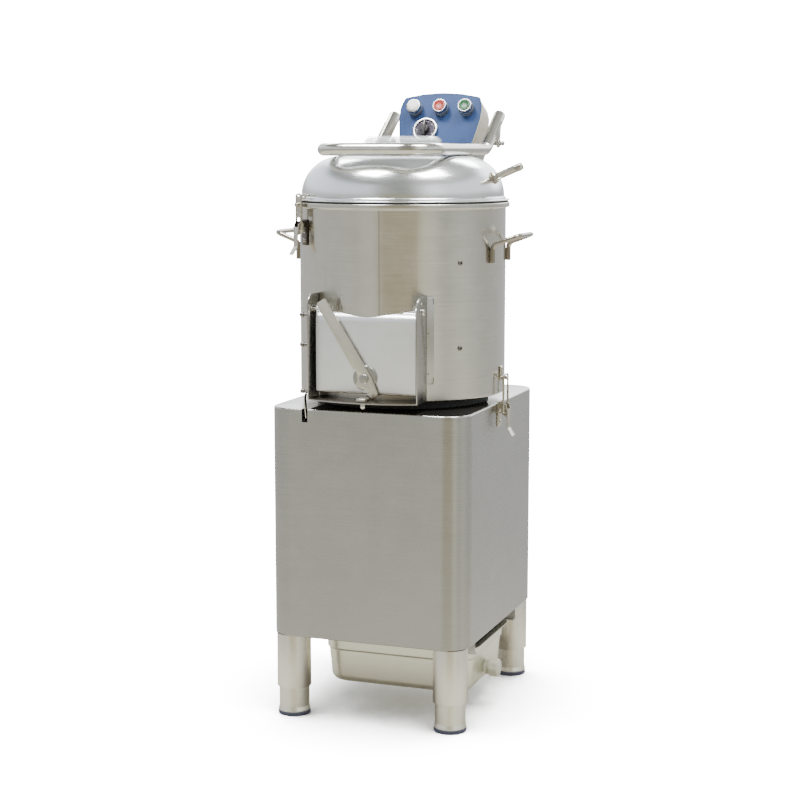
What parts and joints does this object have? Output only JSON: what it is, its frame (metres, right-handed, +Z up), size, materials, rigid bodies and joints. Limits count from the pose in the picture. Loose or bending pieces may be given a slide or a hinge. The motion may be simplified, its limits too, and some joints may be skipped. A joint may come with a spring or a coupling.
{
  "type": "electric potato peeler",
  "caption": "Floor-standing stainless steel drum peeler with a lift-up lid, an outlet door with a lever, a blue control box and a pull-out waste tray under its cabinet.",
  "frame": {"origin": "on the floor, in the middle between the four feet and of the bounding box's base", "axes": "+Z up, +Y to the machine's rear, so that the outlet faces -Y, +X to the machine's right as seen from the front"},
  "size_m": [0.5054, 0.5459, 1.204],
  "materials": {
    "abrasive": "cast disc and sheet with a coarse abrasive coating",
    "zinc": "zinc plated sheet",
    "cast": "painted casting",
    "brushed": "brushed stainless steel",
    "satin": "satin stainless steel",
    "polished": "polished stainless steel",
    "black": "moulded black plastic",
    "rubber": "moulded rubber",
    "box_grey": "folded stainless sheet, light grey",
    "blue": "blue laminate panel, satin",
    "dial": "dark dial plate",
    "green": "green moulded button",
    "red": "red moulded button",
    "white": "white lamp lens",
    "clear": "clear moulded plastic",
    "ivory": "ivory moulded plastic"
  },
  "bodies": {
    "machine": {"base_frame": "zinc", "bearing_housing": "cast", "cabinet_shell": "brushed", "cabinet_top": "brushed", "cable_gland": "black", "carry_handle_left": "polished", "carry_handle_right": "polished", "control_box": "box_grey", "control_panel": "blue", "dome": "satin", "dome_latch_base": "polished", "dome_seal": "rubber", "door_bolt_left": "polished", "door_bolt_right": "polished", "door_catch": "polished", "drive_belt": "rubber", "drum_latch_base": "polished", "drum_latch_keeper": "polished", "drum_liner": "abrasive", "drum_shell": "brushed", "hinge_bracket": "brushed", "interlock_tongue": "polished", "leg_front_left": "brushed", "leg_front_right": "brushed", "leg_rear_left": "brushed", "leg_rear_right": "brushed", "motor": "cast", "outlet_chute": "satin", "pilot_lamp": "white", "rear_column": "brushed", "rear_panel": "brushed", "start_bezel": "polished", "stop_bezel": "polished", "timer_dial": "dial", "tray_runner": "zinc", "waste_pipe": "black", "water_inlet": "polished"},
    "foot_front_left": {"foot_front_left": "brushed"},
    "foot_front_right": {"foot_front_right": "brushed"},
    "foot_rear_left": {"foot_rear_left": "brushed"},
    "foot_rear_right": {"foot_rear_right": "brushed"},
    "tray": {"waste_tray": "brushed", "drain_valve": "ivory"},
    "drain_tap": {"drain_cap": "ivory"},
    "spindle": {"drive_shaft": "polished", "driven_pulley": "cast", "abrasive_plate": "abrasive"},
    "motor_pulley": {"motor_pulley": "cast"},
    "lid": {"lid_frame": "polished", "lid_cover": "clear"},
    "door": {"chute_door": "satin", "lever_boss": "satin"},
    "door_lever": {"door_lever": "polished"},
    "start_button": {"start_button": "green"},
    "stop_button": {"stop_button": "red"},
    "timer_knob": {"timer_knob": "black"},
    "drum_latch_lever": {"drum_latch_lever": "polished"},
    "drum_latch_bail": {"drum_latch_bail": "polished"},
    "dome_latch_lever": {"dome_latch_lever": "polished"},
    "dome_latch_bail": {"dome_latch_bail": "polished"}
  },
  "joints": [
    {"name": "foot_front_left_adjust", "type": "slide", "parent": "machine", "child": "foot_front_left", "axis": [0, 0, -1], "range_m": [0, 0.025]},
    {"name": "foot_front_right_adjust", "type": "slide", "parent": "machine", "child": "foot_front_right", "axis": [0, 0, -1], "range_m": [0, 0.025]},
    {"name": "foot_rear_left_adjust", "type": "slide", "parent": "machine", "child": "foot_rear_left", "axis": [0, 0, -1], "range_m": [0, 0.025]},
    {"name": "foot_rear_right_adjust", "type": "slide", "parent": "machine", "child": "foot_rear_right", "axis": [0, 0, -1], "range_m": [0, 0.025]},
    {"name": "tray_slide", "type": "slide", "parent": "machine", "child": "tray", "axis": [1, 0, 0], "range_m": [0, 0.26]},
    {"name": "drain_tap_turn", "type": "hinge", "parent": "tray", "child": "drain_tap", "pos_m": [0.177, -0.03, 0.078], "axis": [1, 0, 0], "range_deg": [0, 90]},
    {"name": "spindle_spin", "type": "hinge", "parent": "machine", "child": "spindle", "pos_m": [0, -0.022, 0.22], "axis": [0, 0, 1], "continuous": true},
    {"name": "motor_spin", "type": "hinge", "parent": "machine", "child": "motor_pulley", "pos_m": [0, 0.14, 0.22], "axis": [0, 0, 1], "continuous": true},
    {"name": "lid_hinge", "type": "hinge", "parent": "machine", "child": "lid", "pos_m": [0, 0.195, 1.101], "axis": [-1, 0, 0], "range_deg": [0, 70]},
    {"name": "door_hinge", "type": "hinge", "parent": "machine", "child": "door", "pos_m": [0, -0.214, 0.792], "axis": [-1, 0, 0], "range_deg": [0, 45]},
    {"name": "door_lever_turn", "type": "hinge", "parent": "door", "child": "door_lever", "pos_m": [0, -0.23, 0.668], "axis": [0, 1, 0], "range_deg": [0, 65]},
    {"name": "start_button_press", "type": "slide", "parent": "machine", "child": "start_button", "axis": [0, 0.9063, -0.4226], "range_m": [0, 0.003], "stiffness_N_per_m": 400, "springref_m": -0.002},
    {"name": "stop_button_press", "type": "slide", "parent": "machine", "child": "stop_button", "axis": [0, 0.9063, -0.4226], "range_m": [0, 0.003], "stiffness_N_per_m": 400, "springref_m": -0.002},
    {"name": "timer_turn", "type": "hinge", "parent": "machine", "child": "timer_knob", "pos_m": [-0.0255, 0.18694, 1.12556], "axis": [0, -0.9063, 0.4226], "range_deg": [-300, 0]},
    {"name": "drum_latch_lever_turn", "type": "hinge", "parent": "machine", "child": "drum_latch_lever", "pos_m": [0.2108, -0.022, 0.599], "axis": [0, -1, 0], "range_deg": [0, 150]},
    {"name": "drum_latch_bail_turn", "type": "hinge", "parent": "drum_latch_lever", "child": "drum_latch_bail", "pos_m": [0.2108, -0.022, 0.587], "axis": [0, -1, 0], "range_deg": [-172.5, 0]},
    {"name": "dome_latch_lever_turn", "type": "hinge", "parent": "machine", "child": "dome_latch_lever", "pos_m": [-0.15814, -0.16439, 0.948], "axis": [-0.6691, 0.7431, 0], "range_deg": [0, 130]},
    {"name": "dome_latch_bail_turn", "type": "hinge", "parent": "dome_latch_lever", "child": "dome_latch_bail", "pos_m": [-0.15814, -0.16439, 0.936], "axis": [-0.6691, 0.7431, 0], "range_deg": [-149.5, 0]}
  ],
  "couplings": [
    {"joint": "motor_spin", "follows": "spindle_spin", "ratio": 3.25},
    {"joint": "drum_latch_bail_turn", "follows": "drum_latch_lever_turn", "ratio": -1.15},
    {"joint": "dome_latch_bail_turn", "follows": "dome_latch_lever_turn", "ratio": -1.15}
  ]
}
